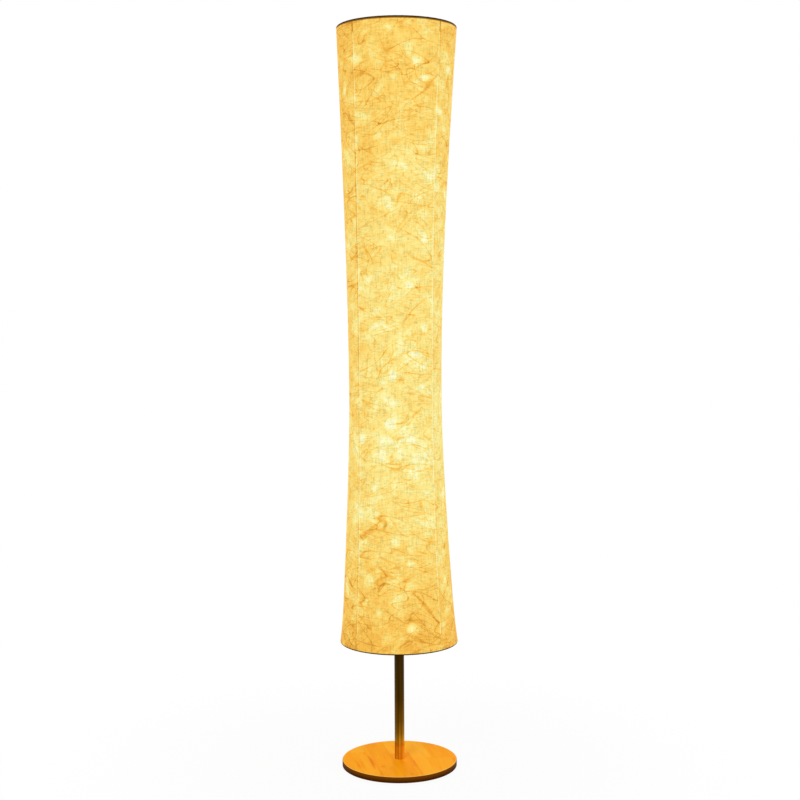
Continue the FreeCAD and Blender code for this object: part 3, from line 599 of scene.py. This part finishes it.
def hem(name, ringZ, up, seed, finish):
    # a strip of paper turned over a wire; up is 1 for the top rim and -1 for the bottom one
    dice = random.Random(seed)
    phases = [(dice.randint(*hems["waveCounts"]), dice.uniform(0, 6.28)) for _ in range(hems["waves"])]
    points, faces = [], []
    profile = [(hems["inner"] + hems["thickness"], k / hems["over"]) for k in range(hems["over"] + 1)]
    profile += [(hems["inner"], 1 - k / hems["over"]) for k in range(hems["over"] + 1)]
    for i in range(hems["around"]):
        a = 2 * math.pi * i / hems["around"]
        wave = sum(math.sin(count * a + phase) for count, phase in phases) / len(phases)
        for r, share in profile:
            b = math.radians(hems["endAngle"]) * share
            b += math.radians(hems["cutWander"]) * wave * share
            puff = r + hems["ripple"] * wave * math.sin(math.pi * share) * (r > hems["inner"])
            out = hems["ringRadius"] + puff * math.cos(b)
            points.append((out * math.cos(a), out * math.sin(a), ringZ + up * puff * math.sin(b)))
    n = len(profile)
    for i in range(hems["around"]):
        j = (i + 1) % hems["around"]
        for k in range(n):
            quad = (i * n + k, j * n + k, j * n + (k + 1) % n, i * n + (k + 1) % n)
            faces.append(quad if up > 0 else quad[::-1])
    made = build(name, points, faces, finish)
    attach(made, "shade")
    return made


rimFinish = rimPaper()
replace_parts(hem("hem_top", paper["ringZ"][1], 1, 3, rimFinish), "top_hem")
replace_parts(hem("hem_bottom", paper["ringZ"][0], -1, 4, rimFinish), "bottom_hem")
print("hems done")

# the wooden base
wood = {
    "staveWidth": 43.0 * mm,
    "staveTurn": math.radians(12),
    # the top's grain, painted more orange than the bare wood, in the tint of the lamp's warm light
    "tones": ((0.12, linear(228, 128, 2)), (0.5, linear(254, 165, 16)), (0.85, linear(255, 184, 44))),
    "edgeTop": linear(108, 62, 3),
    "edgeLow": linear(60, 30, 1),
    # the colour of a painted highlight along the rounded top edge
    "lip": linear(255, 206, 104),
    "warmth": 0.17,  # the lamp's own light on the base
    "edgeRadius": 126.0 * mm,
    "lipRadius": 126.6 * mm,
    "lipZ": (14.0 * mm, 14.5 * mm),
    "topZ": (14.2 * mm, 14.8 * mm),
    "edgeDarkZ": (2.0 * mm, 13.0 * mm),
    "cutSpread": 60.0 * mm,  # how far the butt joints lie from the middle
    # the figure: where its tone starts, and how much each pattern changes it
    "figure": {"rest": 0.60, "tone": 0.30, "bands": 0.6, "flecks": 0.4,
               "glue": 0.30, "butt": 0.25, "heart": 0.34},
}


def rubberwood():
    p = wood
    f = Finish("rubberwood", Specular_IOR_Level=0.01)
    x, y, z = f.axes()
    c, s = math.cos(p["staveTurn"]), math.sin(p["staveTurn"])
    across = x * c + y * s
    along = y * c - x * s
    bay = across / p["staveWidth"] + 0.35
    stave = f.node("Math", {"operation": "FLOOR"}, {0: bay})
    edge = abs(f.node("Math", {"operation": "FRACT"}, {0: bay}) - 0.5)
    # each stave is two lengths of wood, butted at its own place
    cut = f.node("Math", {"operation": "SINE"}, {0: stave * 2.7 + 0.6}) * p["cutSpread"]
    half = f.node("Math", {"operation": "GREATER_THAN"}, {0: along, 1: cut})
    seed = stave * 3.17 + half * 1.43
    scatter = f.node("Math", {"operation": "SINE"}, {0: seed * 12.9}) * 43.7
    tone = f.node("Math", {"operation": "FRACT"}, {0: scatter})  # as good as random, from length to length
    flow = f.node("CombineXYZ", {}, {"X": across + seed * 0.31, "Y": along * 0.09 + seed, "Z": z})
    bands = f.noise(flow, 95.0, 3.0, 0.55, 0.5)
    pores = f.noise(f.stretched(flow, (1.0, 0.6, 1.0)), 900.0, 2.0, 0.6)
    flecks = f.fade(pores, 0.62, 0.72, 0.0, 0.35)
    glueLine = f.fade(edge, 0.486, 0.497, 0.0, 0.5)
    buttLine = f.fade(abs(along - cut), 0.15 * mm, 0.6 * mm, 0.4, 0.0)
    heart = f.noise(f.stretched(flow, (1.0, 3.0, 1.0)), 34.0, 3.0, 0.6, 1.5)
    mix = p["figure"]
    value = mix["rest"] + (tone - 0.5) * mix["tone"] + (bands - 0.5) * mix["bands"] - flecks * mix["flecks"]
    value = value - glueLine * mix["glue"] - buttLine * mix["butt"]
    value = value - f.fade(heart, 0.56, 0.72, 0.0, mix["heart"])
    top = f.ramp(value, *p["tones"])
    # the turned edge is coloured dark, darkest along its foot
    radius = (x * x + y * y) ** 0.5
    wall = f.fade(radius, p["edgeRadius"], p["edgeRadius"] + 1.0 * mm)
    lower = f.fade(z, *p["edgeDarkZ"])
    edgeDark = f.blend(lower, p["edgeLow"], p["edgeTop"])
    edgeDark = f.blend(0.25, edgeDark, f.blend(1.0, edgeDark, top, "MULTIPLY"))
    below = f.fade(z, *p["topZ"], 1.0, 0.0)
    # a painted highlight along the rounded top edge
    lip = f.fade(abs(radius - p["lipRadius"]), 0.2 * mm, 0.9 * mm, 0.8, 0.0) * f.fade(z, *p["lipZ"])
    face = f.blend(lip, f.blend(wall * below, top, edgeDark), p["lip"])
    f.set(Base_Color=face, Emission_Color=face)
    f.set(Emission_Strength=p["warmth"])
    f.set(Roughness=0.42 + bands * 0.12 + flecks * 0.3)
    f.bump(bands * 0.2 - flecks - glueLine * 0.8 - buttLine * 0.8, 0.15 * mm, 0.4)
    return f


dress(rubberwood(), "base_disc")
print("base done")

# the pole
pole = {
    # partly the tube's own dark bronze, partly a painted reflection of the lit wood near the foot
    "tones": ((0.0, (228, 158, 34)), (0.13, (220, 146, 24)), (0.185, (172, 112, 16)), (0.24, (132, 86, 12)),
              (0.34, (94, 60, 6)), (0.50, (64, 41, 4)), (0.85, (50, 32, 5))),  # from the foot up
    "tonesEnd": 300.0 * mm,  # the height at which a tone's place would be 1
    # how strong the painted reflection streaks are
    "streak": 0.9,
    "roughness": 0.10,
    # below this the colour is a painted reflection of the warm wood, and the metal is less metallic
    "footReflectionFade": (40.0 * mm, 56.0 * mm),  # below this the metal takes on the wood's warmth
    "footMetal": 0.35,
}


def poleMetal():
    f = Finish("poleMetal", Specular_IOR_Level=0.2)
    z = f.axes()[2]
    smudge = f.noise(f.stretched(f.place, (1.0, 1.0, 0.35)), 60.0, 4.0, 0.6)
    drawn = f.noise(f.stretched(f.place, (1.0, 1.0, 0.01)), 1800.0, 2.0)
    stops = [(at, linear(*colour)) for at, colour in pole["tones"]]
    tone = f.ramp((z + (smudge - 0.5) * 0.02) / pole["tonesEnd"], *stops)
    # painted reflections: the tube's long light and dark streaks
    streak = f.noise(f.stretched(f.place, (1.0, 1.0, 0.03)), 150.0, 2.0, 0.55, 0.2)
    streak = f.fade(streak + (smudge - 0.5) * 0.12, 0.30, 0.72) - 0.42
    tone = f.blend(1.0, tone, 1.0 + streak * pole["streak"], "MULTIPLY")
    f.set(Base_Color=tone, Roughness=pole["roughness"] + smudge * 0.10)
    # less metallic at the foot, where the colour is a painted reflection of the warm wood
    f.set(Metallic=f.fade(z, *pole["footReflectionFade"], pole["footMetal"], 1.0))
    f.bump(drawn, 0.02 * mm, 0.3)
    return f


dress(poleMetal(), "pole_lower", "pole_middle", "pole_upper", "top_stud")


# plain finishes of the hardware, each with its own grain:
# dark, light, scale, stretch, roughness and its spread, bump in mm, metallic, and the nodes that wear it
hardware = {
    "zincPlate": ((0.46, 0.46, 0.45), (0.70, 0.70, 0.68), 700, (1, 1, 0.2), (0.30, 0.08), 0.03, 1.0,
                  ("weight_screws", "foot_nipple", "foot_washer", "foot_nut", "tube_bushes", "joint_nipples",
                   "holder_nipples", "holder_nuts", "lower_bracket", "upper_bracket")),
    "weightPrimer": ((0.035, 0.035, 0.038), (0.075, 0.075, 0.08), 500, (1, 1, 1), (0.55, 0.1), 0.08, 0.0,
                     ("base_weight",)),
    "blackRubber": ((0.012, 0.012, 0.012), (0.035, 0.035, 0.034), 1200, (1, 1, 1), (0.66, 0.1), 0.04, 0.0,
                    ("cord_grommet", "lead_bushings")),
    "leadSheath": ((0.60, 0.57, 0.50), (0.78, 0.75, 0.68), 600, (1, 1, 0.1), (0.5, 0.08), 0.03, 0.0,
                   ("lower_lead", "upper_lead", "lead_splices")),
    "nylon": ((0.70, 0.68, 0.60), (0.84, 0.82, 0.75), 900, (1, 1, 1), (0.45, 0.08), 0.03, 0.0,
              ("pivot_washer", "guide_bush")),
    "frameWire": ((0.030, 0.020, 0.010), (0.085, 0.058, 0.030), 800, (1, 1, 1), (0.38, 0.1), 0.04, 0.0,
                  ("top_ring", "bottom_ring", "top_spider", "bottom_spider")),
    "glassFibre": ((0.62, 0.54, 0.36), (0.80, 0.72, 0.52), 1500, (1, 1, 0.02), (0.35, 0.08), 0.03, 0.0, ()),
    "sleeveTube": ((0.66, 0.50, 0.22), (0.82, 0.66, 0.34), 900, (1, 1, 0.3), (0.5, 0.08), 0.04, 0.0, ()),
    "clipPlastic": ((0.055, 0.034, 0.014), (0.11, 0.072, 0.034), 900, (1, 1, 1), (0.45, 0.08), 0.03, 0.0,
                    ("top_rod_clips", "bottom_rod_clips")),
    "finialBrass": ((0.46, 0.28, 0.075), (0.66, 0.43, 0.14), 900, (0.3, 0.3, 1), (0.26, 0.08), 0.02, 1.0,
                    ("finial_knob", "finial_insert")),
    "holderBlack": ((0.014, 0.014, 0.014), (0.034, 0.034, 0.033), 1400, (1, 1, 1), (0.42, 0.08), 0.05, 0.0,
                    ("lower_holder_cap", "lower_holder_shell", "upper_holder_cap", "upper_holder_shell")),
    "porcelain": ((0.74, 0.72, 0.67), (0.84, 0.83, 0.79), 500, (1, 1, 1), (0.18, 0.05), 0.02, 0.0,
                  ("lower_holder_insert", "upper_holder_insert")),
    "contactBrass": ((0.50, 0.33, 0.09), (0.72, 0.50, 0.17), 900, (1, 1, 0.3), (0.3, 0.08), 0.02, 1.0,
                     ("lower_screw_shell", "upper_screw_shell",
                      "lower_centre_contact", "upper_centre_contact")),
    "capMetal": ((0.55, 0.56, 0.57), (0.72, 0.73, 0.74), 900, (0.4, 0.4, 1), (0.28, 0.06), 0.02, 1.0,
                 ("lower_bulb_cap", "upper_bulb_cap")),
    "tipGlass": ((0.008, 0.008, 0.010), (0.024, 0.024, 0.028), 900, (1, 1, 1), (0.2, 0.05), 0.02, 0.0,
                 ("lower_bulb_tip", "upper_bulb_tip")),
    "boardMetal": ((0.50, 0.50, 0.50), (0.64, 0.64, 0.63), 900, (1, 0.1, 1), (0.38, 0.06), 0.02, 1.0,
                   ("lower_led_board", "upper_led_board")),
    "bulbHousing": ((0.70, 0.69, 0.65), (0.82, 0.81, 0.78), 1100, (1, 1, 1), (0.36, 0.06), 0.03, 0.0,
                    ("lower_bulb_housing", "upper_bulb_housing")),
}


def grained(name, dark, light, scale, stretch, roughness, depth, metallic):
    f = Finish(name, Metallic=metallic)
    streak = f.noise(f.stretched(f.place, stretch), scale, 3.0, 0.6)
    patch = f.noise(f.place, scale * 0.09, 2.0)
    f.set(Base_Color=f.ramp(streak * 0.6 + patch * 0.4, (0.3, dark), (0.7, light)))
    f.set(Roughness=roughness[0] + (patch - 0.5) * roughness[1] * 2)
    f.bump(streak, depth * mm, 0.5)
    return f


finishes = {}
for name, (*looks, nodes) in hardware.items():
    finishes[name] = grained(name, *looks)
    dress(finishes[name], *nodes)
rodsAndSleeves(finishes["glassFibre"], finishes["sleeveTube"])

# the two bulbs' domes
bulb = {
    "glow": (1.0, 0.80, 0.46),
    "rim": (1.0, 0.66, 0.28),
    "strength": 1.5,
    "bodyDark": (0.70, 0.62, 0.44),
    "bodyLight": (0.82, 0.76, 0.58),
}


def bulbOpal():
    f = Finish("bulbOpal", Roughness=0.4)
    clouds = f.noise(f.place, 90.0, 3.0, 0.6)
    f.set(Emission_Color=f.blend(f.fade(clouds, 0.3, 0.7, 0.0, 0.5), bulb["glow"], bulb["rim"]))
    f.set(Base_Color=f.blend(clouds, bulb["bodyDark"], bulb["bodyLight"]))
    f.set(Emission_Strength=bulb["strength"])
    f.bump(clouds, 0.02 * mm, 0.3)
    return f


dress(bulbOpal(), "lower_bulb_dome", "upper_bulb_dome")
print("hardware done")

# the felt under the base
felt = {
    "radius": 123.5 * mm,
    "thickness": 1.0 * mm,
    "fuzz": 0.12 * mm,
    "around": 180,
    # shares of the radius and of the thickness, from the underside round the edge to the top
    "profile": ((0.35, 0.0), (0.7, 0.0), (0.97, 0.0), (0.995, 0.12), (1.0, 0.5), (0.995, 0.88), (0.97, 1.0),
                (0.7, 1.0), (0.35, 1.0)),
    "fuzzFrom": 0.98,
    "dark": (0.008, 0.008, 0.008),
    "light": (0.045, 0.043, 0.04),
}


def feltFinish():
    f = Finish("baseFelt", Roughness=0.95, Sheen_Weight=0.5)
    fuzz = f.noise(f.place, 1400.0, 4.0, 0.75, 1.5)
    lay = f.noise(f.place, 90.0, 2.0)
    f.set(Base_Color=f.ramp(fuzz * 0.7 + lay * 0.3, (0.3, felt["dark"]), (0.7, felt["light"])))
    f.bump(fuzz, 0.3 * mm, 0.8)
    return f


def feltDisc():
    dice = random.Random(8)
    points, faces = [], []
    t, n, profile = felt["thickness"], felt["around"], felt["profile"]
    for share, up in profile:
        for i in range(n):
            a = 2 * math.pi * i / n
            r = felt["radius"] * share - felt["fuzz"] * dice.random() * (share > felt["fuzzFrom"])
            points.append((r * math.cos(a), r * math.sin(a), t * up))
    for k in range(len(profile) - 1):
        for i in range(n):
            j = (i + 1) % n
            faces.append((k * n + i, k * n + j, (k + 1) * n + j, (k + 1) * n + i))
    for k, flip in ((0, True), (len(profile) - 1, False)):
        points.append((0, 0, t * profile[k][1]))
        hub = len(points) - 1
        for i in range(n):
            j = (i + 1) % n
            face = (k * n + i, k * n + j, hub)
            faces.append(face[::-1] if flip else face)
    return build("felt_disc", points, faces, feltFinish())


feltPiece = feltDisc()
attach(feltPiece, "stand")
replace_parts(feltPiece, "base_felt")
print("felt done")

# floor, background and light
stage = {
    "floorSize": 14,
    "floorWhite": 0.9,
    "whiteShare": 0.93,  # near the lamp the floor keeps a little of its shadow
    "shadowReach": (0.2, 0.9),
    "white": 1.0,
    "worldFill": 0.42,
    "aim": (0, 0, 0.8),
    # place, size and watts of each lamp
    "lamps": {
        "keyLight": ((-1.6, -3.2, 2.6), (1.6, 2.2), 46),
        "fillLight": ((2.4, -2.2, 1.6), (1.2, 2.0), 24),
        "rearLight": ((0.4, 3.2, 2.6), (1.8, 1.8), 34),
    },
}


def floorFinish():
    f = Finish("floor", Base_Color=(stage["floorWhite"],) * 3)
    x, y = f.axes()[:2]
    away = f.fade((x * x + y * y) ** 0.5, *stage["shadowReach"], stage["whiteShare"], 1.0)
    seen = f.background() * away
    faint = f.noise(f.place, 3.0, 2.0)
    f.set(Roughness=0.85 + faint * 0.1)
    glow = f.node("Emission", {}, {"Color": (1, 1, 1), "Strength": stage["white"]})
    mixed = f.node("MixShader", {}, {0: seen, 1: Signal(f, f.shader.outputs[0]), 2: glow})
    out = f.tree.nodes["Material Output"]
    f.tree.links.new(mixed.socket, out.inputs["Surface"])
    return f


bpy.ops.mesh.primitive_grid_add(x_subdivisions=8, y_subdivisions=8, size=stage["floorSize"])
floor = bpy.context.object
floor.name = "floor"
floor.data.materials.append(floorFinish().material)

world = bpy.data.worlds.new("studio")
bpy.context.scene.world = world
world.use_nodes = True
sky = Nodes(world.node_tree)
skyShader = world.node_tree.nodes["Background"]
sky.plug(skyShader, "Color", (1, 1, 1))
sky.plug(skyShader, "Strength", stage["worldFill"] + sky.background() * (1 - stage["worldFill"]))


def softbox(name, place, size, watts):
    data = bpy.data.lights.new(name, "AREA")
    data.shape = "RECTANGLE"
    data.size, data.size_y = size
    data.energy = watts
    made = bpy.data.objects.new(name, data)
    bpy.context.collection.objects.link(made)
    made.location = place
    made.rotation_euler = (Vector(stage["aim"]) - Vector(place)).to_track_quat("-Z", "Y").to_euler()


for name, lamp in stage["lamps"].items():
    softbox(name, *lamp)

# camera, at the photograph's angle
view = {
    "place": (0.0043, -3.073, 1.0219),
    "pitch": 0.0668,
    "roll": -0.0044,
    "focalPixels": 1403,
    "width": 800,
    "sensor": 36,
    "farClip": 50,
}
lens = bpy.data.cameras.new("camera")
lens.sensor_width = view["sensor"]
lens.lens = view["focalPixels"] / view["width"] * lens.sensor_width
lens.clip_end = view["farClip"]
camera = bpy.data.objects.new("camera", lens)
bpy.context.collection.objects.link(camera)
aim = Matrix.Rotation(math.pi / 2 - view["pitch"], 4, "X") @ Matrix.Rotation(view["roll"], 4, "Z")
camera.matrix_world = Matrix.Translation(view["place"]) @ aim
bpy.context.scene.camera = camera
bpy.context.scene.view_settings.view_transform = "Standard"
print("stage done")
